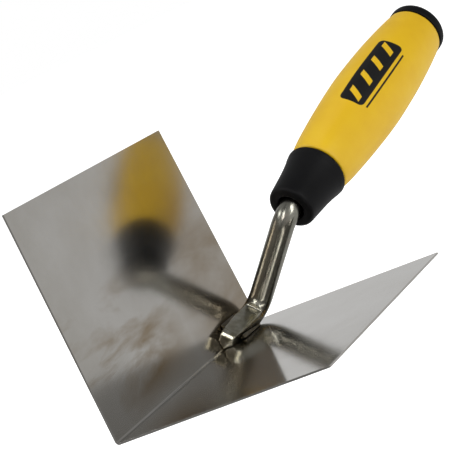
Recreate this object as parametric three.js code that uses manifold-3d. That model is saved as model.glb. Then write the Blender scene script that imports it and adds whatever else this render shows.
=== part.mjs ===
// Inside corner trowel: a folded steel blade, a bent steel shank welded in its corner,
// and a two-colour moulded handle pressed on the shank. Millimetres, +Z up.
// The tool lies on the outer face of one wing, with the other wing standing up.
// The origin is the middle of the face it lies on, and +Y runs along the fold towards the handle.

import * as THREE from 'three';
import { mergeVertices } from 'three/addons/utils/BufferGeometryUtils.js';
import Module from 'manifold-3d';

const wasm = await Module();
wasm.setup();

// Blade: two flat wings at a right angle
const BLADE_LENGTH = 127;
const WING_WIDTH = 91.5;
const SHEET = 0.8;
const FOLD_RADIUS = 0.8;
const WING_NARROWING = 0.035;
const NEAR_END_SLANT = 1.2;
const FAR_END_SLANT = 4;

// Shank: one round bar, bent twice
const BAR_RADIUS = 4.8;
const FOOT_START = 91.5;
const FOOT_START_HEIGHT = 6.1;
const UPRIGHT_AT = 121;
const FOOT_HEIGHT = 8.3;
const FOOT_BEND_RADIUS = 8;
const NECK_BEND_RADIUS = 9;
const BAR_IN_HANDLE = 63;

// Forged foot: the blocks that cut its sloping top flat, its side flats and its chamfered nose.
// "ahead" is from the toe along the fold, "height" is from the corner.
const TOP_CUT = { size: [14, 36, 8], ahead: 5.5, height: 13.2, slope: Math.atan2(3.2, 26) };
const SIDE_CUT = { size: [6, 40, 24], out: 6.3, ahead: 4, height: 6, taper: Math.atan2(1.7, 22) };
const NOSE_CUT = { size: [14, 10, 24], ahead: -3.6, height: 11, lean: 0.5 };

// Welds: one fillet run along each side of the foot, measured along and across the wing
const WELD_START = 98;
const WELD_LENGTH = 14;
const WELD_TOE = 9.4;
const WELD_SHOULDER = 8.4;
const WELD_TOP = 2.7;
const WELD_HOLLOW = [8.6, 1.5];
const WELD_INNER_SIDE = 5.5;

// Handle axis, in the plane midway between the wings
const HANDLE_FRONT_AT = 124.4;
const HANDLE_FRONT_HEIGHT = 54;
const HANDLE_RISE = THREE.MathUtils.degToRad(25.7);

// Handle, measured along its axis from the front rim of the ferrule
const FERRULE_LENGTH = 24;
const GRIP_START = 24.3;
const GRIP_END = 115.9;
const CAP_START = 116.2;
const CAP_LENGTH = 7.8;
const CAP_RIM = 2.2;
const CORE_START = 4.3;
const CORE_END = 111;
const CORE_RADIUS = 8.6;
const MOUTH_RADIUS = 5.7;
const CAP_RADIUS = 12.6;
const CAP_FULLNESS = 0.8;
const PLUG_CHAMFER = 0.4;

// Turned outlines, as [radius, distance along the handle]
const FERRULE_RIM = [[MOUTH_RADIUS, 0.9], [MOUTH_RADIUS + 0.9, 0], [8.3, 0], [9.3, 0.35], [9.95, 1.3]];
const FERRULE_FLARE = [[10.15, 2.4], [10.5, 6], [10.95, 10.5], [11.45, 14.5], [12.15, 18.5]];
const FERRULE_LIP = [[12.65, 20.5], [12.9, 21.8], [12.95, 23.2], [12.6, FERRULE_LENGTH]];
const GRIP_SWELL = [
  [12.75, GRIP_START + 0.5], [13.6, 31.6], [14.65, 42.6], [15.4, 53.5], [15.85, 63], [15.95, 70.5],
  [15.7, 80], [15.1, 91.5], [14.1, 102.5], [13.1, 110.8], [12.4, GRIP_END - 0.4],
];
const GRIP_FRONT_RADIUS = 12.2;
const GRIP_BACK_RADIUS = 12;

const GAP = 0.3;

// How finely curves are divided
const ROUND_SIDES = 36;
const CORE_SIDES = 24;
const BAR_SIDES = 18;
const ROUTE_STEPS = 64;
const DOME_STEPS = 9;

// ---------------------------------------------------------------- materials

function finish(name, color, roughness, metalness) {
  const material = new THREE.MeshStandardMaterial({ color, roughness, metalness });
  material.name = name;
  return material;
}

const stainless = finish('blade_stainless', 0xa3a19c, 0.3, 1);
const barSteel = finish('shank_steel', 0x77756c, 0.28, 1);
const weldMetal = finish('weld_metal', 0x6a665c, 0.5, 1);
const gripPlastic = finish('grip_yellow', 0xdfb528, 0.5, 0);
const blackRubber = finish('black_rubber', 0x1a1a1a, 0.55, 0);
const corePlastic = finish('core_plastic', 0x2b2b2b, 0.6, 0);

// ---------------------------------------------------------------- solids

function toSolid(geometry) {
  const bare = geometry.clone();
  bare.deleteAttribute('normal');
  bare.deleteAttribute('uv');
  const merged = mergeVertices(bare, 1e-4);
  return new wasm.Manifold(new wasm.Mesh({
    numProp: 3,
    vertProperties: new Float32Array(merged.attributes.position.array),
    triVerts: new Uint32Array(merged.index.array),
  }));
}

function toGeometry(solid) {
  const mesh = solid.getMesh();
  const geometry = new THREE.BufferGeometry();
  geometry.setAttribute('position', new THREE.BufferAttribute(mesh.vertProperties, 3));
  geometry.setIndex(new THREE.BufferAttribute(mesh.triVerts, 1));
  geometry.computeVertexNormals();
  return geometry;
}

function part(name, geometry, material) {
  const mesh = new THREE.Mesh(geometry, material);
  mesh.name = name;
  return mesh;
}

function block(size, x, y, z, tiltX = 0, turnZ = 0) {
  const geometry = new THREE.BoxGeometry(...size);
  geometry.rotateX(tiltX);
  geometry.rotateZ(turnZ);
  geometry.translate(x, y, z);
  return toSolid(geometry);
}

// ---------------------------------------------------------------- blade

// The sheet's section, extruded along the fold. Its ends are cut a little out of square,
// and each wing is slightly narrower at the handle end.
function bladeGeometry() {
  const outer = SHEET + FOLD_RADIUS;
  const section = new THREE.Shape();
  section.moveTo(WING_WIDTH, 0);
  section.lineTo(WING_WIDTH, SHEET);
  section.lineTo(outer, SHEET);
  section.absarc(outer, outer, FOLD_RADIUS, -Math.PI / 2, -Math.PI, true);
  section.lineTo(SHEET, WING_WIDTH);
  section.lineTo(0, WING_WIDTH);
  section.lineTo(0, outer);
  section.absarc(outer, outer, outer, Math.PI, Math.PI * 1.5, false);
  section.closePath();
  const geometry = new THREE.ExtrudeGeometry(section, {
    depth: BLADE_LENGTH, steps: 1, curveSegments: 6, bevelEnabled: false,
  });
  geometry.rotateX(Math.PI / 2);
  geometry.scale(1, -1, 1);
  trimWings(geometry.attributes.position);
  return facingOut(geometry);
}

function trimWings(position) {
  const foldEnds = SHEET + FOLD_RADIUS + 0.01;
  for (let i = 0; i < position.count; i += 1) {
    const x = position.getX(i);
    const along = position.getY(i) / BLADE_LENGTH;
    const z = position.getZ(i);
    const out = Math.max(x, z) / WING_WIDTH;
    const narrow = 1 - WING_NARROWING * along;
    position.setX(i, x > foldEnds ? x * narrow : x);
    position.setZ(i, z > foldEnds ? z * narrow : z);
    const start = NEAR_END_SLANT * out;
    const end = BLADE_LENGTH - FAR_END_SLANT * out;
    position.setY(i, start + (end - start) * along);
  }
}

// Mirroring turned the triangles over, so each one is wound the other way round.
function facingOut(geometry) {
  const flat = geometry.index ? geometry.toNonIndexed() : geometry;
  const position = flat.attributes.position;
  const a = new THREE.Vector3();
  const b = new THREE.Vector3();
  for (let i = 0; i < position.count; i += 3) {
    a.fromBufferAttribute(position, i);
    b.fromBufferAttribute(position, i + 1);
    position.setXYZ(i, b.x, b.y, b.z);
    position.setXYZ(i + 1, a.x, a.y, a.z);
  }
  flat.computeVertexNormals();
  return flat;
}

// ---------------------------------------------------------------- shank

// A route drawn in the plane midway between the wings: x along the fold, y away from the corner.
class MidPlaneCurve extends THREE.Curve {
  constructor(path) {
    super();
    this.path = path;
  }

  getPoint(t) {
    const point = this.path.getPoint(t);
    return new THREE.Vector3(0, point.x, point.y);
  }
}

function handlePoint(along) {
  return new THREE.Vector2(
    HANDLE_FRONT_AT + Math.cos(HANDLE_RISE) * along,
    HANDLE_FRONT_HEIGHT + Math.sin(HANDLE_RISE) * along,
  );
}

// Adds a line to just short of a corner, then the arc that rounds it.
function roundCorner(path, from, corner, to, radius) {
  const back = from.clone().sub(corner).normalize();
  const on = to.clone().sub(corner).normalize();
  const half = Math.acos(back.dot(on)) / 2;
  const reach = radius / Math.tan(half);
  const start = corner.clone().addScaledVector(back, reach);
  const middle = back.clone().add(on).normalize();
  const centre = corner.clone().addScaledVector(middle, radius / Math.sin(half));
  const end = corner.clone().addScaledVector(on, reach);
  const startAngle = Math.atan2(start.y - centre.y, start.x - centre.x);
  const endAngle = Math.atan2(end.y - centre.y, end.x - centre.x);
  const clockwise = back.x * on.y - back.y * on.x > 0;
  path.lineTo(start.x, start.y);
  path.absarc(centre.x, centre.y, radius, startAngle, endAngle, clockwise);
}

function shankRoute() {
  const toe = new THREE.Vector2(FOOT_START, FOOT_START_HEIGHT);
  const heel = new THREE.Vector2(UPRIGHT_AT, FOOT_HEIGHT);
  const alongNeck = (UPRIGHT_AT - HANDLE_FRONT_AT) / Math.cos(HANDLE_RISE);
  const neck = handlePoint(alongNeck);
  const inHandle = handlePoint(BAR_IN_HANDLE);
  const path = new THREE.Path();
  path.moveTo(toe.x, toe.y);
  roundCorner(path, toe, heel, neck, FOOT_BEND_RADIUS);
  roundCorner(path, heel, neck, inHandle, NECK_BEND_RADIUS);
  path.lineTo(inHandle.x, inHandle.y);
  return new MidPlaneCurve(path);
}

// The bar's foot is forged: a sloping flat on top, flats down both sides that draw it in
// towards the toe, and a chamfered nose. "spare" makes it that much larger all round.
function barSolid(spare) {
  const circle = new THREE.Shape();
  circle.absarc(0, 0, BAR_RADIUS + spare, 0, Math.PI * 2, false);
  const bar = new THREE.ExtrudeGeometry(circle, {
    steps: ROUTE_STEPS, curveSegments: BAR_SIDES, extrudePath: shankRoute(), bevelEnabled: false,
  });
  let solid = toSolid(bar);
  const topAt = FOOT_START + TOP_CUT.ahead;
  solid = solid.subtract(block(TOP_CUT.size, 0, topAt, TOP_CUT.height + spare, TOP_CUT.slope));
  const sideAt = FOOT_START + SIDE_CUT.ahead;
  for (const side of [-1, 1]) {
    const across = side * (SIDE_CUT.out + spare);
    const turn = -side * SIDE_CUT.taper;
    solid = solid.subtract(block(SIDE_CUT.size, across, sideAt, SIDE_CUT.height, 0, turn));
  }
  const noseAt = FOOT_START + NOSE_CUT.ahead;
  solid = solid.subtract(block(NOSE_CUT.size, 0, noseAt, NOSE_CUT.height, -NOSE_CUT.lean));
  const turnedBar = toGeometry(solid);
  turnedBar.rotateY(Math.PI / 4);
  return toSolid(turnedBar);
}

// The foot's underside is ground flat on both sides to sit against the two wings.
function shankGeometry() {
  const thick = 2 * (SHEET + GAP);
  const reach = 160;
  const middle = reach / 2 - BAR_RADIUS;
  return toGeometry(barSolid(0)
    .subtract(block([thick, reach * 2, reach], 0, 0, middle))
    .subtract(block([reach, reach * 2, thick], middle, 0, 0)));
}

// ---------------------------------------------------------------- welds

// The fillet run on the lying wing, with a hollow face, cut back to clear the bar.
function weldGeometry() {
  const foot = SHEET + GAP;
  const section = new THREE.Shape();
  section.moveTo(WELD_INNER_SIDE, foot);
  section.lineTo(WELD_TOE, foot);
  section.quadraticCurveTo(...WELD_HOLLOW, WELD_SHOULDER, WELD_TOP);
  section.lineTo(WELD_INNER_SIDE, WELD_TOP);
  section.closePath();
  const bead = new THREE.ExtrudeGeometry(section, {
    depth: WELD_LENGTH, steps: 1, curveSegments: 5, bevelEnabled: false,
  });
  bead.rotateX(-Math.PI / 2);
  bead.scale(1, 1, -1);
  bead.translate(0, WELD_START, 0);
  return toGeometry(toSolid(facingOut(bead)).subtract(barSolid(GAP)));
}

// The same run on the standing wing: the mirror image across the plane between the wings.
function mirroredWeld(geometry) {
  const flat = geometry.toNonIndexed();
  const position = flat.attributes.position;
  for (let i = 0; i < position.count; i += 1) {
    position.setXYZ(i, position.getZ(i), position.getY(i), position.getX(i));
  }
  return facingOut(flat);
}

// ---------------------------------------------------------------- handle

function outline(points) {
  return points.map(([radius, along]) => new THREE.Vector2(radius, along));
}

function curveThrough(points, divisions) {
  const spline = new THREE.SplineCurve(outline(points));
  return spline.getSpacedPoints(divisions);
}

function turned(profile, sides) {
  const geometry = new THREE.LatheGeometry(profile, sides);
  return toGeometry(toSolid(geometry));
}

// Soft black ferrule: rounded rim round the bar, slightly waisted flare, raised lip at the grip.
function ferruleGeometry() {
  const inner = CORE_RADIUS + GAP;
  const back = CORE_START - GAP;
  const profile = [
    ...outline([[MOUTH_RADIUS, back], ...FERRULE_RIM]),
    ...curveThrough(FERRULE_FLARE, 6),
    ...outline([...FERRULE_LIP, [inner, FERRULE_LENGTH], [inner, back], [MOUTH_RADIUS, back]]),
  ];
  return turned(profile, ROUND_SIDES);
}

// Yellow grip sleeve: fullest a little past the middle, narrower towards the ferrule and the cap.
function gripGeometry() {
  const inner = CORE_RADIUS + GAP;
  const profile = [
    ...outline([[inner, GRIP_START], [GRIP_FRONT_RADIUS, GRIP_START]]),
    ...curveThrough(GRIP_SWELL, 20),
    ...outline([[GRIP_BACK_RADIUS, GRIP_END], [inner, GRIP_END], [inner, GRIP_START]]),
  ];
  return turned(profile, ROUND_SIDES);
}

// Rigid core moulded round the bar, open at the front for it.
function coreGeometry() {
  const bore = BAR_RADIUS + GAP;
  const boreEnd = BAR_IN_HANDLE + 1;
  const profile = outline([
    [0, boreEnd],
    [bore, boreEnd],
    [bore, CORE_START],
    [CORE_RADIUS, CORE_START],
    [CORE_RADIUS, CORE_END],
    [0, CORE_END],
  ]);
  return turned(profile, CORE_SIDES);
}

// Black end cap: a domed button with a short plug that goes inside the sleeve.
function capGeometry() {
  const dome = [];
  for (let i = 0; i < DOME_STEPS; i += 1) {
    const angle = (i / DOME_STEPS) * Math.PI / 2;
    const across = Math.cos(angle) ** CAP_FULLNESS;
    const up = Math.sin(angle);
    dome.push([CAP_RADIUS * across, CAP_START + CAP_RIM + (CAP_LENGTH - CAP_RIM) * up]);
  }
  const plugEnd = CORE_END + GAP;
  const profile = outline([
    [0, plugEnd],
    [CORE_RADIUS - PLUG_CHAMFER, plugEnd],
    [CORE_RADIUS, plugEnd + PLUG_CHAMFER],
    [CORE_RADIUS, CAP_START],
    [CAP_RADIUS - 0.3, CAP_START],
    [CAP_RADIUS, CAP_START + 0.3],
    ...dome,
    [0, CAP_START + CAP_LENGTH],
  ]);
  return turned(profile, ROUND_SIDES);
}

// ---------------------------------------------------------------- assembly

const trowel = new THREE.Group();
trowel.position.set(-WING_WIDTH / 2, -BLADE_LENGTH / 2, 0);
trowel.add(part('blade', bladeGeometry(), stainless));
trowel.add(part('shank', shankGeometry(), barSteel));

const weld = weldGeometry();
trowel.add(part('weld_right', weld, weldMetal));
trowel.add(part('weld_left', mirroredWeld(weld), weldMetal));

// The handle parts stand on +Y of the lathe, which is turned to the handle's axis
// inside the plane midway between the wings.
const midPlane = new THREE.Group();
midPlane.rotation.y = Math.PI / 4;
const handle = new THREE.Group();
handle.position.set(0, HANDLE_FRONT_AT, HANDLE_FRONT_HEIGHT);
handle.rotation.x = HANDLE_RISE;
handle.add(part('front_ferrule', ferruleGeometry(), blackRubber));
handle.add(part('grip_sleeve', gripGeometry(), gripPlastic));
handle.add(part('handle_core', coreGeometry(), corePlastic));
handle.add(part('end_cap', capGeometry(), blackRubber));
midPlane.add(handle);
trowel.add(midPlane);

export default trowel;
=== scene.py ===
import math

import bpy
from mathutils import Matrix, Vector


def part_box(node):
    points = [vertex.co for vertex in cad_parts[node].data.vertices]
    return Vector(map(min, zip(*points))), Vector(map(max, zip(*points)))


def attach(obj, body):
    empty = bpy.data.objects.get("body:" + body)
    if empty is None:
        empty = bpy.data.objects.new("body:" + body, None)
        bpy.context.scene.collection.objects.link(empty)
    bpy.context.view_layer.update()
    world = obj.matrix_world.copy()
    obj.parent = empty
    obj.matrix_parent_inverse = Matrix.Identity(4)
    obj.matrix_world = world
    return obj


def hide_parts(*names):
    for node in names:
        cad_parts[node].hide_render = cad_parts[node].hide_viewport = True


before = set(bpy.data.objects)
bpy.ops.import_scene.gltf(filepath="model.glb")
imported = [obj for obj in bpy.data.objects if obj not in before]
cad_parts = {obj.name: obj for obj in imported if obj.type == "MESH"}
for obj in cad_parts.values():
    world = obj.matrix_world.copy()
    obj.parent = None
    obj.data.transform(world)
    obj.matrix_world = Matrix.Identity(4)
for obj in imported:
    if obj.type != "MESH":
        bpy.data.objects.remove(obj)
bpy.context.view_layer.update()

# ---------------------------------------------------------------------------
# Blade. One sheet of cold-rolled stainless steel, 0.8 mm thick, folded to a
# right angle on a press. The guillotined edges are eased with a stone.

MM = 0.001
EASED_EDGE = 0.12 * MM
EDGE_ANGLE = math.radians(40)
MERGE_WITHIN = 0.002 * MM
FLAT_WITHIN = math.radians(0.5)
STAIN_HEIGHTS = (1 * MM, 12 * MM, 32 * MM, 58 * MM)
STAIN_ALONG = (-18 * MM, 12 * MM)
BLOT_ALONG = (12 * MM, 42 * MM)
BLOT_HEIGHTS = (42 * MM, 75 * MM)

# Sizes of the patterns. The real rolling grain is well under 0.1 mm wide, too fine to show, so
# it is drawn coarser. The other two are about as wide as the real marks.
ROLLING_GRAIN = 0.625 * MM
GRAIN_SQUEEZE = 0.03
CLOUD_WIDTH = 35.71 * MM
STREAK_WIDTH = 18.182 * MM
STREAK_SQUEEZE = 0.3
STREAK_LEAN = math.radians(24)
STANDING_HAZE = 0.045
STAIN_HAZE = 0.08


def linear(hex_colour):
    """An sRGB hex colour as the linear colour that shaders take."""
    parts = [int(hex_colour[i:i + 2], 16) / 255 for i in (1, 3, 5)]
    return [p / 12.92 if p <= 0.04045 else ((p + 0.055) / 1.055) ** 2.4 for p in parts] + [1]


def add(tree, kind, sockets=None, stops=(), **settings):
    """Adds one shader node, with its settings, its sockets' values or links, and a ramp's stops."""
    made = tree.nodes.new("ShaderNode" + kind)
    for name, value in settings.items():
        setattr(made, name, value)
    for name, value in (sockets or {}).items():
        if isinstance(value, bpy.types.NodeSocket):
            tree.links.new(value, made.inputs[name])
        else:
            made.inputs[name].default_value = value
    if stops:
        elements = made.color_ramp.elements
        while len(elements) < len(stops):
            elements.new(0.5)
        for element, (position, colour) in zip(elements, stops):
            element.position = position
            element.color = linear(colour)
    return made


def new_material(name):
    """A material with only its Principled shader, and the tree that it is in."""
    material = bpy.data.materials.new(name)
    material.use_nodes = True
    return material, material.node_tree, material.node_tree.nodes["Principled BSDF"]


def use_only(piece):
    """Selects one object and nothing else."""
    if bpy.context.object and bpy.context.object.mode != "OBJECT":
        bpy.ops.object.mode_set(mode="OBJECT")
    bpy.ops.object.select_all(action="DESELECT")
    piece.select_set(True)
    bpy.context.view_layer.objects.active = piece


def apply_modifier(piece, kind, **settings):
    """Adds a modifier and applies it."""
    use_only(piece)
    modifier = piece.modifiers.new(kind, kind)
    for name, value in settings.items():
        setattr(modifier, name, value)
    bpy.ops.object.modifier_apply(modifier=modifier.name)


def merged_copy(node, name):
    """A copy of a CAD node with its loose triangles joined into clean flat faces."""
    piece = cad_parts[node].copy()
    piece.data = piece.data.copy()
    piece.name = name
    piece.parent = None
    for key in list(piece.keys()):
        del piece[key]
    bpy.context.scene.collection.objects.link(piece)
    use_only(piece)
    bpy.ops.object.mode_set(mode="EDIT")
    bpy.ops.mesh.select_all(action="SELECT")
    bpy.ops.mesh.remove_doubles(threshold=MERGE_WITHIN)
    bpy.ops.mesh.dissolve_limited(angle_limit=FLAT_WITHIN)
    bpy.ops.mesh.normals_make_consistent(inside=False)
    bpy.ops.object.mode_set(mode="OBJECT")
    return piece


# Cold-rolled stainless, 2B mill finish polished by use: soft reflections that blur with
# distance, more so on the standing wing, a faint rolling grain along the fold, tea-coloured
# drying streaks low on the near half and tan blots on the far half of the standing wing.
def stainless():
    material, tree, shader = new_material("stainless_2b_polished_by_use")
    place = add(tree, "TexCoord").outputs["Object"]
    apart = add(tree, "SeparateXYZ", {"Vector": place})
    along, height = apart.outputs["Y"], apart.outputs["Z"]
    grain_place = add(tree, "Mapping", {"Vector": place, "Scale": (1, GRAIN_SQUEEZE, 1)})
    grain = add(tree, "TexNoise", {"Vector": grain_place.outputs[0], "Scale": 1 / ROLLING_GRAIN,
                                   "Detail": 4})
    cloud = add(tree, "TexNoise", {"Vector": place, "Scale": 1 / CLOUD_WIDTH, "Detail": 5,
                                   "Roughness": 0.6})
    clean = add(tree, "ValToRGB", {"Fac": cloud.outputs["Fac"]},
                stops=[(0.3, "#B4B2AE"), (0.7, "#A9A6A0")]).outputs["Color"]

    streak_place = add(tree, "Mapping", {"Vector": place, "Rotation": (STREAK_LEAN, 0, 0),
                                         "Scale": (1, STREAK_SQUEEZE, 1)})
    streak = add(tree, "TexNoise", {"Vector": streak_place.outputs[0], "Scale": 1 / STREAK_WIDTH,
                                    "Detail": 6, "Roughness": 0.55, "Distortion": 0.3})
    bottom, full_from, full_to, top = STAIN_HEIGHTS
    high = add(tree, "MapRange", {"Value": height, "From Min": top, "From Max": full_to})
    low = add(tree, "MapRange", {"Value": height, "From Min": bottom, "From Max": full_from})
    band = add(tree, "Math", {0: high.outputs[0], 1: low.outputs[0]}, operation="MULTIPLY")
    near = add(tree, "MapRange", {"Value": along, "From Min": STAIN_ALONG[1], "From Max": STAIN_ALONG[0],
                                  "To Min": 0.2})
    band = add(tree, "Math", {0: band.outputs[0], 1: near.outputs[0]}, operation="MULTIPLY")
    stain_edge = add(tree, "MapRange", {"Value": streak.outputs["Fac"], "From Min": 0.42, "From Max": 0.58})
    stain = add(tree, "Math", {0: stain_edge.outputs[0], 1: band.outputs[0]}, operation="MULTIPLY")
    colour = add(tree, "Mix", {"Factor": stain.outputs[0], 6: clean, 7: linear("#837259")}, data_type="RGBA")

    standing = add(tree, "Math", {0: apart.outputs["X"], 1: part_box("blade")[0].x + 1 * MM},
                   operation="LESS_THAN")
    far = add(tree, "MapRange", {"Value": along, "From Min": BLOT_ALONG[0], "From Max": BLOT_ALONG[1]})
    not_high = add(tree, "MapRange", {"Value": height, "From Min": BLOT_HEIGHTS[1],
                                      "From Max": BLOT_HEIGHTS[0]})
    blot = add(tree, "MapRange", {"Value": streak.outputs["Fac"], "From Min": 0.3, "From Max": 0.6,
                                  "To Min": 0.35})
    for limit in (far, not_high, standing):
        blot = add(tree, "Math", {0: blot.outputs[0], 1: limit.outputs[0]}, operation="MULTIPLY")
    colour = add(tree, "Mix", {"Factor": blot.outputs[0], 6: colour.outputs[2], 7: linear("#887B69")},
                 data_type="RGBA")
    tree.links.new(colour.outputs[2], shader.inputs["Base Color"])

    wear = add(tree, "MapRange", {"Value": cloud.outputs["Fac"], "From Min": 0.3, "From Max": 0.7,
                                  "To Min": 0.09, "To Max": 0.13})
    wear = add(tree, "Math", {0: standing.outputs[0], 1: STANDING_HAZE, 2: wear.outputs[0]},
               operation="MULTIPLY_ADD")
    stained = add(tree, "Math", {0: stain.outputs[0], 1: STAIN_HAZE, 2: wear.outputs[0]},
                  operation="MULTIPLY_ADD")
    tree.links.new(stained.outputs[0], shader.inputs["Roughness"])
    bump = add(tree, "Bump", {"Height": grain.outputs["Fac"], "Strength": 0.05, "Distance": 0.01 * MM})
    tree.links.new(bump.outputs["Normal"], shader.inputs["Normal"])
    shader.inputs["Metallic"].default_value = 1
    return material


blade = merged_copy("blade", "folded_blade")
apply_modifier(blade, "BEVEL", width=EASED_EDGE, segments=2, limit_method="ANGLE",
               angle_limit=EDGE_ANGLE)
use_only(blade)
bpy.ops.object.shade_smooth()
apply_modifier(blade, "WEIGHTED_NORMAL", mode="FACE_AREA", weight=100)
blade.data.materials.clear()
blade.data.materials.append(stainless())
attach(blade, "root")
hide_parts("blade")

# ---------------------------------------------------------------------------
# Shank. One 9.6 mm (3/8 in) round steel bar. Its foot is forged with a sloping flat on top and
# drawn in at the sides, then it is bent up from the fold and back into the handle.

BAR_RADIUS = 4.8
FOOT_START = Vector((91.5, 6.1))
HEEL = Vector((121, 8.3))
HANDLE_FRONT = Vector((124.4, 54))
HANDLE_RISE = math.radians(25.7)
FOOT_BEND = 8
NECK_BEND = 9
BAR_IN_HANDLE = 63
BAR_SIDES = 64
BEND_STEPS = 16

# Cuts that forge the foot: the size of each cutting block, how far its middle is ahead of the
# toe, how high it is over the fold, and its slope. The side blocks also stand out sideways.
TOP_CUT = {"size": (14, 36, 8), "ahead": 5.5, "height": 13.2, "slope": math.atan2(3.2, 26)}
SIDE_CUT = {"size": (6, 40, 24), "ahead": 4, "height": 6, "taper": math.atan2(1.7, 22), "out": 6.3}
NOSE_CUT = {"size": (14, 10, 24), "ahead": -3.6, "height": 11, "lean": 0.5}
WING_CLEARANCE = 0.9
FORGED_LENGTH = (20 * MM, 26 * MM)
FORGING_VOXEL = 0.28 * MM
TUMBLE_MARKS = 6.667 * MM
SCALE_MARKS = 3.846 * MM

# The plane midway between the wings: X across it, Y along the fold, Z away from the fold.
to_mid_plane = Matrix.Translation(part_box("blade")[0]) @ Matrix.Rotation(math.radians(45), 4, "Y")


def settle(piece, place):
    """Moves a piece to its place and puts that place in its mesh."""
    use_only(piece)
    piece.matrix_world = place @ piece.matrix_world
    bpy.ops.object.transform_apply(location=True, rotation=True, scale=True)


def block(size, middle, tilt=(0, 0, 0)):
    """A box for cutting with, in millimetres."""
    bpy.ops.mesh.primitive_cube_add(size=MM, location=Vector(middle) * MM, rotation=tilt)
    tool = bpy.context.object
    tool.scale = size
    bpy.ops.object.transform_apply(location=False, rotation=False, scale=True)
    return tool


def cut(piece, tool):
    """Cuts tool out of piece and removes tool."""
    apply_modifier(piece, "BOOLEAN", object=tool, operation="DIFFERENCE", solver="EXACT")
    bpy.data.objects.remove(tool)


def bent_bar():
    """The round bar along its route, by straight extrusions and spun bends."""
    along = HEEL - FOOT_START
    slope = math.atan2(along.y, along.x)
    foot_turn = math.pi / 2 - slope
    neck_turn = math.pi / 2 - HANDLE_RISE
    foot_reach = FOOT_BEND * math.tan(foot_turn / 2)
    neck_reach = NECK_BEND * math.tan(neck_turn / 2)
    neck_back = (HANDLE_FRONT.x - HEEL.x) / math.cos(HANDLE_RISE)
    neck_height = HANDLE_FRONT.y - neck_back * math.sin(HANDLE_RISE)
    at = FOOT_START.copy()
    bpy.ops.mesh.primitive_circle_add(
        vertices=BAR_SIDES, radius=BAR_RADIUS * MM, fill_type="NGON",
        location=(0, at.x * MM, at.y * MM), rotation=(slope - math.pi / 2, 0, 0))
    bar = bpy.context.object
    bpy.ops.object.transform_apply(location=True, rotation=True, scale=True)
    bpy.ops.object.mode_set(mode="EDIT")
    bpy.ops.mesh.select_all(action="SELECT")
    heading = slope
    route = [
        (along.length - foot_reach, foot_turn, FOOT_BEND),
        (neck_height - HEEL.y - foot_reach - neck_reach, -neck_turn, NECK_BEND),
        (BAR_IN_HANDLE + neck_back - neck_reach, 0, 0),
    ]
    for length, turn, radius in route:
        step = Vector((math.cos(heading), math.sin(heading))) * length
        bpy.ops.mesh.extrude_region_move(TRANSFORM_OT_translate={"value": (0, step.x * MM, step.y * MM)})
        at += step
        if turn:
            side = heading + math.copysign(math.pi / 2, turn)
            centre = at + Vector((math.cos(side), math.sin(side))) * radius
            bpy.ops.mesh.spin(steps=BEND_STEPS, angle=-turn, axis=(1, 0, 0),
                              center=(0, centre.x * MM, centre.y * MM))
            spoke = at - centre
            spoke.rotate(Matrix.Rotation(turn, 2))
            at = centre + spoke
            heading += turn
    bpy.ops.mesh.select_all(action="SELECT")
    bpy.ops.mesh.remove_doubles(threshold=MERGE_WITHIN / 2)
    bpy.ops.mesh.normals_make_consistent(inside=False)
    bpy.ops.object.mode_set(mode="OBJECT")
    bar.name = "bent_shank"
    return bar


def forge_foot(bar):
    """Flattens the foot on top, draws in its sides, chamfers its nose and grinds its underside."""
    toe = FOOT_START.x
    cut(bar, block(TOP_CUT["size"], (0, toe + TOP_CUT["ahead"], TOP_CUT["height"]),
                   (TOP_CUT["slope"], 0, 0)))
    for side in (-1, 1):
        middle = (side * SIDE_CUT["out"], toe + SIDE_CUT["ahead"], SIDE_CUT["height"])
        cut(bar, block(SIDE_CUT["size"], middle, (0, 0, side * -SIDE_CUT["taper"])))
    cut(bar, block(NOSE_CUT["size"], (0, toe + NOSE_CUT["ahead"], NOSE_CUT["height"]),
                   (-NOSE_CUT["lean"], 0, 0)))
    settle(bar, to_mid_plane)
    fold_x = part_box("blade")[0].x / MM
    reach, past_fold, run = 120, 10, 300
    middle = reach / 2 - past_fold
    cut(bar, block((2 * WING_CLEARANCE, run, reach), (fold_x, 0, middle)))
    cut(bar, block((reach, run, 2 * WING_CLEARANCE), (fold_x + middle, 0, 0)))


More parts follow.
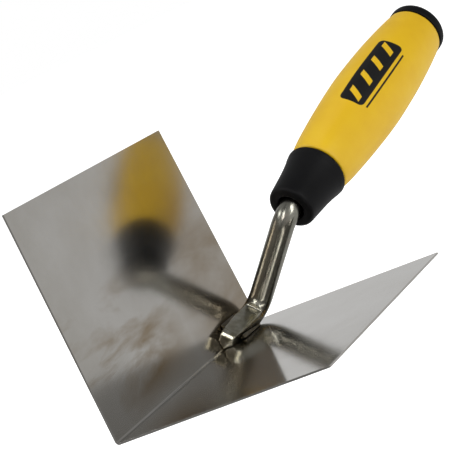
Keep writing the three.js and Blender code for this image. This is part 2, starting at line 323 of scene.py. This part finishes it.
# Mild-steel bar wiped with oil: greenish and glossy. Its colour is painted darker on the round bar, as
# painted shade, and brighter on the forged foot, as painted light, with olive-brown scale left in its flats.
def oiled_steel():
    material, tree, shader = new_material("oiled_bar_steel_with_painted_light_and_shade")
    place = add(tree, "TexCoord").outputs["Object"]
    cloud = add(tree, "TexNoise", {"Vector": place, "Scale": 1 / TUMBLE_MARKS, "Detail": 5,
                                   "Roughness": 0.6})
    scale_marks = add(tree, "TexNoise", {"Vector": place, "Scale": 1 / SCALE_MARKS, "Detail": 4,
                                         "Roughness": 0.6})
    # Painted shade: the round bar's base colours are set darker than the foot's, to stand in for the shade on
    # it.
    round_bar_painted_darker = add(tree, "ValToRGB", {"Fac": cloud.outputs["Fac"]},
                    stops=[(0.3, "#929188"), (0.52, "#818077"), (0.72, "#91887E")]).outputs["Color"]
    apart = add(tree, "SeparateXYZ", {"Vector": place})
    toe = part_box("shank")[0].y
    foot = add(tree, "MapRange", {"Value": apart.outputs["Y"], "From Min": toe + FORGED_LENGTH[1],
                                  "From Max": toe + FORGED_LENGTH[0]})
    # Painted light: the foot's lighter base colour (#AFADA2) stands in for the light that falls on it.
    base = add(tree, "Mix", {"Factor": foot.outputs[0], 6: round_bar_painted_darker, 7: linear("#AFADA2")}, data_type="RGBA")
    blotch = add(tree, "MapRange", {"Value": scale_marks.outputs["Fac"], "From Min": 0.38, "From Max": 0.72})
    scale_mask = add(tree, "Math", {0: foot.outputs[0], 1: blotch.outputs[0]}, operation="MULTIPLY")
    colour = add(tree, "Mix", {"Factor": scale_mask.outputs[0], 6: base.outputs[2], 7: linear("#817A60")},
                 data_type="RGBA")
    tree.links.new(colour.outputs[2], shader.inputs["Base Color"])
    rough = add(tree, "MapRange", {"Value": cloud.outputs["Fac"], "From Min": 0.3, "From Max": 0.7,
                                   "To Min": 0.2, "To Max": 0.28})
    tree.links.new(rough.outputs[0], shader.inputs["Roughness"])
    bump = add(tree, "Bump", {"Height": scale_marks.outputs["Fac"], "Strength": 0.03, "Distance": 0.03 * MM})
    tree.links.new(bump.outputs["Normal"], shader.inputs["Normal"])
    shader.inputs["Metallic"].default_value = 1
    return material


shank = bent_bar()
forge_foot(shank)
apply_modifier(shank, "REMESH", mode="VOXEL", voxel_size=FORGING_VOXEL, use_smooth_shade=True)
apply_modifier(shank, "SMOOTH", factor=0.5, iterations=10)
shank.data.materials.clear()
shank.data.materials.append(oiled_steel())
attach(shank, "root")
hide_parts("shank")

# ---------------------------------------------------------------------------
# Welds. A short fillet run on each side of the foot, which is what holds the shank in the
# fold. Each is small and low, and is wiped clean.

WELD_VOXEL = 0.12 * MM
RIPPLE_PITCH = 1.2083 * MM
HEAT_MARKS = 3.333 * MM


# Steel weld metal: duller and browner than the bar, with ripples across the run.
def weld_bead():
    material, tree, shader = new_material("weld_bead_wiped")
    place = add(tree, "TexCoord").outputs["Object"]
    # A wave texture at scale 1 has ten bands in every pi metres.
    ripple = add(tree, "TexWave", {"Vector": place, "Scale": math.pi / 10 / RIPPLE_PITCH,
                                   "Distortion": 1.5, "Detail": 2}, bands_direction="Y")
    cloud = add(tree, "TexNoise", {"Vector": place, "Scale": 1 / HEAT_MARKS, "Detail": 4})
    colour = add(tree, "ValToRGB", {"Fac": cloud.outputs["Fac"]},
                 stops=[(0.35, "#6F6A60"), (0.65, "#57503F")]).outputs["Color"]
    tree.links.new(colour, shader.inputs["Base Color"])
    rough = add(tree, "MapRange", {"Value": cloud.outputs["Fac"], "To Min": 0.35, "To Max": 0.55})
    tree.links.new(rough.outputs[0], shader.inputs["Roughness"])
    bump = add(tree, "Bump", {"Height": ripple.outputs["Fac"], "Strength": 0.4, "Distance": 0.08 * MM})
    tree.links.new(bump.outputs["Normal"], shader.inputs["Normal"])
    shader.inputs["Metallic"].default_value = 1
    return material


weld_metal = weld_bead()
for side in ("left", "right"):
    bead = merged_copy("weld_" + side, "fillet_weld_" + side)
    apply_modifier(bead, "REMESH", mode="VOXEL", voxel_size=WELD_VOXEL, use_smooth_shade=True)
    apply_modifier(bead, "SMOOTH", factor=0.5, iterations=4)
    bead.data.materials.clear()
    bead.data.materials.append(weld_metal)
    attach(bead, "root")
    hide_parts("weld_" + side)

# ---------------------------------------------------------------------------
# Handle core. Rigid black plastic moulded round the end of the bar; only a little of it
# shows inside the ferrule's mouth.

# The handle's frame: Z along its axis from the ferrule's front rim, -Y towards its top.
axis_direction = Vector((0, math.cos(HANDLE_RISE), math.sin(HANDLE_RISE)))
side_way = Vector((1, 0, 0))
handle_turn = Matrix((side_way, axis_direction.cross(side_way), axis_direction)).transposed()
to_handle = (to_mid_plane @ Matrix.Translation((0, HANDLE_FRONT.x * MM, HANDLE_FRONT.y * MM))
             @ handle_turn.to_4x4())


def handle_place(tree):
    """A shader's position in the handle's frame."""
    place = add(tree, "TexCoord").outputs["Object"]
    return add(tree, "Mapping", {"Vector": place, "Location": to_handle.translation,
                                 "Rotation": to_handle.to_euler()}, vector_type="TEXTURE").outputs[0]


# Plain moulded polypropylene, filled black: dull, with a barely visible mottle.
CORE_MOTTLE = 1.111 * MM


def core_plastic():
    material, tree, shader = new_material("polypropylene_black_plain")
    place = add(tree, "TexCoord").outputs["Object"]
    speck = add(tree, "TexNoise", {"Vector": place, "Scale": 1 / CORE_MOTTLE})
    tree.links.new(add(tree, "ValToRGB", {"Fac": speck.outputs["Fac"]},
                       stops=[(0.3, "#202020"), (0.7, "#2A2A29")]).outputs["Color"],
                   shader.inputs["Base Color"])
    shader.inputs["Roughness"].default_value = 0.6
    return material


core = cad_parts["handle_core"]
core.data.materials.clear()
core.data.materials.append(core_plastic())

# ---------------------------------------------------------------------------
# Front ferrule. A soft black collar moulded over the core: a rounded rim round the bar,
# a waisted flare, and a small raised lip where it meets the yellow grip.

TURNED_SIDES = 128
POLE_WITHIN = 0.01 * MM


def ring_up(name, profile, sides=TURNED_SIDES):
    """Raises a piece ring by ring from (radius, along) points in millimetres."""
    (radius, height), rest = profile[0], profile[1:]
    bpy.ops.mesh.primitive_circle_add(vertices=sides, radius=radius * MM, location=(0, 0, height * MM))
    piece = bpy.context.object
    piece.name = name
    bpy.ops.object.transform_apply(location=True, rotation=True, scale=True)
    bpy.ops.object.mode_set(mode="EDIT")
    bpy.ops.mesh.select_all(action="SELECT")
    for next_radius, next_height in rest:
        rise = (next_height - height) * MM
        bpy.ops.mesh.extrude_region_move(TRANSFORM_OT_translate={"value": (0, 0, rise)})
        share = next_radius / radius
        bpy.ops.transform.resize(value=(share, share, 1))
        radius, height = next_radius, next_height
    bpy.ops.mesh.select_all(action="SELECT")
    bpy.ops.mesh.remove_doubles(threshold=POLE_WITHIN)
    bpy.ops.mesh.normals_make_consistent(inside=False)
    bpy.ops.object.mode_set(mode="OBJECT")
    settle(piece, to_handle)
    bpy.ops.object.shade_smooth_by_angle(angle=math.radians(50))
    return piece


def arc(middle, radius, start, end, steps):
    """Profile points round part of a circle, from angle start to end in degrees."""
    angles = [math.radians(start + (end - start) * i / steps) for i in range(steps + 1)]
    return [(middle[0] + radius * math.cos(a), middle[1] + radius * math.sin(a)) for a in angles]


def smooth_through(points, steps):
    """Extra profile points on a smooth curve through the ones given."""
    ends = [points[0]] + points + [points[-1]]
    curve = []
    for before, start, end, after in zip(ends, ends[1:], ends[2:], ends[3:]):
        for i in range(steps):
            t = i / steps
            weights = (-t + 2 * t ** 2 - t ** 3, 2 - 5 * t ** 2 + 3 * t ** 3,
                       t + 4 * t ** 2 - 3 * t ** 3, t ** 3 - t ** 2)
            near = (before, start, end, after)
            curve.append(tuple(sum(w * p[k] for w, p in zip(weights, near)) / 2 for k in (0, 1)))
    return curve + [points[-1]]


# Soft thermoplastic elastomer: matt black with a fine sparked texture and a broad dull sheen.
# The real texture is about 0.1 mm, too fine to show, so it is drawn four times as coarse.
SPARK_GRAIN = 0.4167 * MM
RUB_WIDTH = 11.11 * MM


def soft_elastomer():
    material, tree, shader = new_material("elastomer_black_spark_textured")
    place = add(tree, "TexCoord").outputs["Object"]
    spark = add(tree, "TexNoise", {"Vector": place, "Scale": 1 / SPARK_GRAIN, "Detail": 3})
    rub = add(tree, "TexNoise", {"Vector": place, "Scale": 1 / RUB_WIDTH, "Detail": 4})
    tree.links.new(add(tree, "ValToRGB", {"Fac": rub.outputs["Fac"]},
                       stops=[(0.3, "#09090A"), (0.7, "#0D0D0E")]).outputs["Color"],
                   shader.inputs["Base Color"])
    rough = add(tree, "MapRange", {"Value": rub.outputs["Fac"], "From Min": 0.3, "From Max": 0.7,
                                   "To Min": 0.42, "To Max": 0.55})
    tree.links.new(rough.outputs[0], shader.inputs["Roughness"])
    bump = add(tree, "Bump", {"Height": spark.outputs["Fac"], "Strength": 0.2, "Distance": 0.05 * MM})
    tree.links.new(bump.outputs["Normal"], shader.inputs["Normal"])
    shader.inputs["Specular IOR Level"].default_value = 0.1
    return material


elastomer = soft_elastomer()
CORE_GAP_RADIUS = 8.9
JOINT_RADIUS = 11.9
MOUTH = 5.7
MOUTH_BACK = 4
MOUTH_EASE = 0.9
RIM_RADIUS = 8.35
RIM_ROUND = 1.6
RIM_SET_BACK = 0.05
LIP_MIDDLE = (12.05, 22.5)
LIP_ROUND = 0.85
FERRULE_END = 23.95
FERRULE_FLARE = [(10.1, 2.4), (10.45, 6), (10.9, 10.5), (11.4, 14.5), (12.1, 18.5), (12.55, 20.3)]
ferrule_profile = (
    [(MOUTH, MOUTH_BACK)]
    + arc((MOUTH + MOUTH_EASE, RIM_SET_BACK + MOUTH_EASE), MOUTH_EASE, 180, 270, 6)
    + arc((RIM_RADIUS, RIM_SET_BACK + RIM_ROUND), RIM_ROUND, 270, 355, 8)
    + smooth_through(FERRULE_FLARE, 5)
    + arc(LIP_MIDDLE, LIP_ROUND, -25, 80, 8)
    + [(JOINT_RADIUS, FERRULE_END), (CORE_GAP_RADIUS, FERRULE_END), (CORE_GAP_RADIUS, MOUTH_BACK),
       (MOUTH, MOUTH_BACK)]
)
ferrule = ring_up("soft_front_ferrule", ferrule_profile)
ferrule.data.materials.append(elastomer)
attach(ferrule, "root")
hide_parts("front_ferrule")

# ---------------------------------------------------------------------------
# Grip sleeve. Yellow polypropylene moulded over the core, fullest past its middle, with
# a plain black panel and a thin rule printed on top.

GRIP_START = 24.3
GRIP_END = 115.9
GRIP_RIM = 12.35
GRIP_EASE = 0.4
GRIP_SWELL = [(12.6, 25.6), (13.55, 31.6), (14.6, 42.6), (15.35, 53.5), (15.8, 63), (15.9, 70.5),
              (15.65, 80), (15.05, 91.5), (14.05, 102.5), (13.05, 110.8), (GRIP_RIM, 115.2)]
grip_profile = (
    [(CORE_GAP_RADIUS, GRIP_START), (JOINT_RADIUS, GRIP_START), (GRIP_RIM, GRIP_START + GRIP_EASE)]
    + smooth_through(GRIP_SWELL, 5)
    + [(JOINT_RADIUS, GRIP_END), (CORE_GAP_RADIUS, GRIP_END), (CORE_GAP_RADIUS, GRIP_START)]
)


# The print, in millimetres round the grip from its top line and along the handle. Each "edge"
# is how softly the ink ends.
PRINT_RADIUS = 15.6
PANEL_EDGE = 0.12
BAR_EDGE = 0.15
RULE_EDGE = 0.1
PANEL_MIDDLE = (-0.6, 71.6)
PANEL_HALF = (5.5, 19.7)
PANEL_CORNER = 2.2
BAR_SLANT = 0.7
BAR_SHIFT = 3.6
HALF_BAR_PITCH = 5.0
HALF_BAR_WIDTH = 1.5
BAR_SPAN_ROUND = (-3.6, 2.4)
BAR_SPAN_ALONG = (52.5, 91)
RULE_SPAN_ROUND = (6.3, 7.0)
RULE_SPAN_ALONG = (53, 88)


def inside(tree, value, low, high, soft):
    """1 where value is between low and high, fading to 0 over soft."""
    up = add(tree, "MapRange", {"Value": value, "From Min": low - soft, "From Max": low})
    down = add(tree, "MapRange", {"Value": value, "From Min": high + soft, "From Max": high})
    return add(tree, "Math", {0: up.outputs[0], 1: down.outputs[0]}, operation="MULTIPLY").outputs[0]


def past(tree, value, middle, half):
    """How far value is beyond half on either side of middle, or 0."""
    off = add(tree, "Math", {0: value, 1: middle}, operation="SUBTRACT")
    off = add(tree, "Math", {0: off.outputs[0]}, operation="ABSOLUTE")
    off = add(tree, "Math", {0: off.outputs[0], 1: half}, operation="SUBTRACT")
    return add(tree, "Math", {0: off.outputs[0], 1: 0}, operation="MAXIMUM").outputs[0]


def print_mask(tree, place):
    """1 where there is ink: a panel with rounded corners and slanted bars left out, and a rule."""
    apart = add(tree, "SeparateXYZ", {"Vector": place})
    down = add(tree, "Math", {0: apart.outputs["Y"], 1: -1}, operation="MULTIPLY")
    angle = add(tree, "Math", {0: apart.outputs["X"], 1: down.outputs[0]}, operation="ARCTAN2")
    around = add(tree, "Math", {0: angle.outputs[0], 1: PRINT_RADIUS}, operation="MULTIPLY").outputs[0]
    along = add(tree, "Math", {0: apart.outputs["Z"], 1: 1 / MM}, operation="MULTIPLY").outputs[0]
    beyond = add(tree, "CombineXYZ", {
        "X": past(tree, around, PANEL_MIDDLE[0], PANEL_HALF[0] - PANEL_CORNER),
        "Y": past(tree, along, PANEL_MIDDLE[1], PANEL_HALF[1] - PANEL_CORNER),
    })
    beyond = add(tree, "VectorMath", {0: beyond.outputs[0]}, operation="LENGTH")
    panel = inside(tree, beyond.outputs["Value"], -1, PANEL_CORNER, PANEL_EDGE)
    slant = add(tree, "Math", {0: around, 1: BAR_SLANT, 2: along}, operation="MULTIPLY_ADD")
    slant = add(tree, "Math", {0: slant.outputs[0], 1: BAR_SHIFT}, operation="ADD")
    off_bar = add(tree, "Math", {0: slant.outputs[0], 1: HALF_BAR_PITCH}, operation="PINGPONG")
    bars = inside(tree, off_bar.outputs[0], -1, HALF_BAR_WIDTH, BAR_EDGE)
    for value, span in ((around, BAR_SPAN_ROUND), (along, BAR_SPAN_ALONG)):
        limit = inside(tree, value, *span, BAR_EDGE)
        bars = add(tree, "Math", {0: bars, 1: limit}, operation="MULTIPLY").outputs[0]
    rule = add(tree, "Math", {0: inside(tree, around, *RULE_SPAN_ROUND, RULE_EDGE),
                              1: inside(tree, along, *RULE_SPAN_ALONG, RULE_EDGE)}, operation="MULTIPLY")
    solid = add(tree, "Math", {0: panel, 1: bars}, operation="SUBTRACT")
    return add(tree, "Math", {0: solid.outputs[0], 1: rule.outputs[0]}, operation="MAXIMUM",
               use_clamp=True).outputs[0]


# Moulded polypropylene with a yellow masterbatch: satin, slightly warmer where hands have
# rubbed it, with a very fine orange peel. The panel is pad-printed ink.
ORANGE_PEEL = 0.6667 * MM
HAND_RUB = 22.22 * MM


def yellow_grip():
    material, tree, shader = new_material("polypropylene_yellow_satin_printed")
    place = handle_place(tree)
    rub = add(tree, "TexNoise", {"Vector": place, "Scale": 1 / HAND_RUB, "Detail": 5, "Roughness": 0.6})
    peel = add(tree, "TexNoise", {"Vector": place, "Scale": 1 / ORANGE_PEEL, "Detail": 2})
    yellow = add(tree, "ValToRGB", {"Fac": rub.outputs["Fac"]},
                 stops=[(0.3, "#C29E10"), (0.55, "#BE980F"), (0.75, "#B8910E")]).outputs["Color"]
    colour = add(tree, "Mix", {"Factor": print_mask(tree, place), 6: yellow, 7: linear("#070707")},
                 data_type="RGBA")
    tree.links.new(colour.outputs[2], shader.inputs["Base Color"])
    rough = add(tree, "MapRange", {"Value": rub.outputs["Fac"], "From Min": 0.3, "From Max": 0.7,
                                   "To Min": 0.42, "To Max": 0.52})
    tree.links.new(rough.outputs[0], shader.inputs["Roughness"])
    bump = add(tree, "Bump", {"Height": peel.outputs["Fac"], "Strength": 0.12, "Distance": 0.04 * MM})
    tree.links.new(bump.outputs["Normal"], shader.inputs["Normal"])
    shader.inputs["Specular IOR Level"].default_value = 0.35
    return material


grip = ring_up("yellow_grip_sleeve", grip_profile)
grip.data.materials.append(yellow_grip())
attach(grip, "root")
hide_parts("grip_sleeve")

# ---------------------------------------------------------------------------
# End cap. A domed button in the same black elastomer, with a plug that goes inside the
# end of the grip sleeve. It stands a little proud of the yellow.

CAP_START = 116.2
CAP_RADIUS = 12.55
CAP_EASE = 0.4
SHOULDER = CAP_START + 2.2
DOME_RISE = 5.55
DOME_FULLNESS = 0.8
PLUG_RADIUS = 8.6
CORE_END = 111.3
POLE_RADIUS = 0.01
dome = [(CAP_RADIUS * math.cos(angle) ** DOME_FULLNESS, SHOULDER + DOME_RISE * math.sin(angle))
        for angle in map(math.radians, range(0, 90, 5))]
cap_profile = (
    [(POLE_RADIUS, CORE_END), (PLUG_RADIUS, CORE_END), (PLUG_RADIUS, CAP_START),
     (CAP_RADIUS - 0.35, CAP_START)]
    + arc((CAP_RADIUS - CAP_EASE, CAP_START + CAP_EASE), CAP_EASE, 280, 350, 4)
    + dome + [(POLE_RADIUS, SHOULDER + DOME_RISE)]
)
cap = ring_up("domed_end_cap", cap_profile)
cap.data.materials.append(elastomer)
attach(cap, "root")
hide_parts("end_cap")

# ---------------------------------------------------------------------------
# Stage: a white floor, a white background, a graded studio for the polished metal to
# reflect, soft lamps and the camera.

FLOOR_SIZE = 60
PAPER_MOTTLE = 250 * MM
bpy.ops.mesh.primitive_plane_add(size=FLOOR_SIZE, location=(0, 0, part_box("blade")[0].z))
floor = bpy.context.object
floor.name = "studio_floor"
floor_paint, floor_tree, floor_shader = new_material("studio_floor_white")
mottle = add(floor_tree, "TexNoise", {"Vector": add(floor_tree, "TexCoord").outputs["Object"],
                                      "Scale": 1 / PAPER_MOTTLE})
paper = add(floor_tree, "ValToRGB", {"Fac": mottle.outputs["Fac"]}, stops=[(0, "#B8B8B8"), (1, "#BCBCBC")])
floor_tree.links.new(paper.outputs["Color"], floor_shader.inputs["Base Color"])
floor_shader.inputs["Roughness"].default_value = 0.9
floor_shader.inputs["Emission Color"].default_value = linear("#FFFFFF")
floor_shader.inputs["Emission Strength"].default_value = 0.95
floor.data.materials.append(floor_paint)
floor.visible_glossy = False


def grey(level):
    """A neutral hex colour of a given linear brightness."""
    share = 12.92 * level if level < 0.0031308 else 1.055 * level ** (1 / 2.4) - 0.055
    return "#" + 3 * f"{round(255 * share):02X}"


# What the polished metal sees, above the horizon and below it: (bearing in degrees from +Y
# towards +X, brightness).
ROOM = [(-180, 0.25), (-165, 0.5), (-95, 0.62), (-55, 0.6), (-30, 0.74), (-8, 0.55), (14, 0.4),
        (42, 0.38), (62, 0.3), (95, 0.5), (135, 0.7), (160, 0.45), (180, 0.25)]
TABLE = [(-180, 0.1), (-160, 0.2), (-110, 0.6), (0, 0.72), (60, 0.75), (110, 0.9), (155, 0.5), (180, 0.1)]
studio = bpy.data.worlds.new("studio")
bpy.context.scene.world = studio
studio.use_nodes = True
sky = studio.node_tree
direction = add(sky, "SeparateXYZ", {"Vector": add(sky, "TexCoord").outputs["Generated"]})
bearing = add(sky, "Math", {0: direction.outputs["X"], 1: direction.outputs["Y"]}, operation="ARCTAN2")
turn_share = add(sky, "MapRange", {"Value": bearing.outputs[0], "From Min": -math.pi, "From Max": math.pi})
room, table = [
    add(sky, "ValToRGB", {"Fac": turn_share.outputs[0]},
        stops=[((turn + 180) / 360, grey(level)) for turn, level in round_the_compass]).outputs["Color"]
    for round_the_compass in (ROOM, TABLE)
]
horizon = add(sky, "MapRange", {"Value": direction.outputs["Z"], "From Min": -0.03, "From Max": 0.02})
both = add(sky, "Mix", {"Factor": horizon.outputs[0], 6: table, 7: room}, data_type="RGBA")
overhead = add(sky, "MapRange", {"Value": direction.outputs["Z"], "From Min": 0.25, "From Max": 0.8,
                                 "To Min": 1.0, "To Max": 0.6})

# The background itself is plain white, in whatever direction the tool is looked at.
seen = add(sky, "LightPath").outputs["Is Camera Ray"]
shown = add(sky, "Mix", {"Factor": seen, 6: both.outputs[2], 7: linear("#FFFFFF")}, data_type="RGBA")
strength = add(sky, "Math", {0: overhead.outputs[0], 1: seen}, operation="MAXIMUM")
sky.links.new(shown.outputs[2], sky.nodes["Background"].inputs["Color"])
sky.links.new(strength.outputs[0], sky.nodes["Background"].inputs["Strength"])

LAMP_TARGET = Vector((0, 0.05, 0.04))


def lamp(name, place, size, watts, reflected=True):
    """A rectangular soft lamp aimed at the tool."""
    data = bpy.data.lights.new(name, "AREA")
    data.shape = "RECTANGLE"
    data.size, data.size_y = size
    data.energy = watts
    made = bpy.data.objects.new(name, data)
    made.location = place
    made.rotation_euler = (LAMP_TARGET - Vector(place)).to_track_quat("-Z", "Y").to_euler()
    made.visible_glossy = reflected
    bpy.context.scene.collection.objects.link(made)


lamp("key_softbox", (-0.9, -0.6, 1.1), (0.8, 0.8), 11)
lamp("strip_softbox", (1.15, -0.42, 0.45), (0.16, 0.9), 6)
lamp("front_softbox", (0.15, -0.85, 0.66), (0.16, 0.6), 3)
lamp("top_softbox", (0.1, 0.1, 1.6), (1.0, 1.0), 10, reflected=False)

# The camera looks down on the inside of the fold, from the side of the lying wing.
CAMERA_PLACE = Vector((0.3708, -0.6433, 0.1315))
LOOK = Vector((-0.49884, 0.85982, -0.10898))
ROLL = math.radians(-26.4)
FOCAL_LENGTH = 162.3
SENSOR_WIDTH = 36

eye = bpy.data.cameras.new("camera")
eye.lens = FOCAL_LENGTH
eye.sensor_width = SENSOR_WIDTH
camera = bpy.data.objects.new("camera", eye)
level = LOOK.to_track_quat("-Z", "Y").to_matrix().to_4x4()
camera.matrix_world = Matrix.Translation(CAMERA_PLACE) @ level @ Matrix.Rotation(ROLL, 4, "Z")
bpy.context.scene.collection.objects.link(camera)
bpy.context.scene.camera = camera
bpy.context.scene.view_settings.view_transform = "Standard"
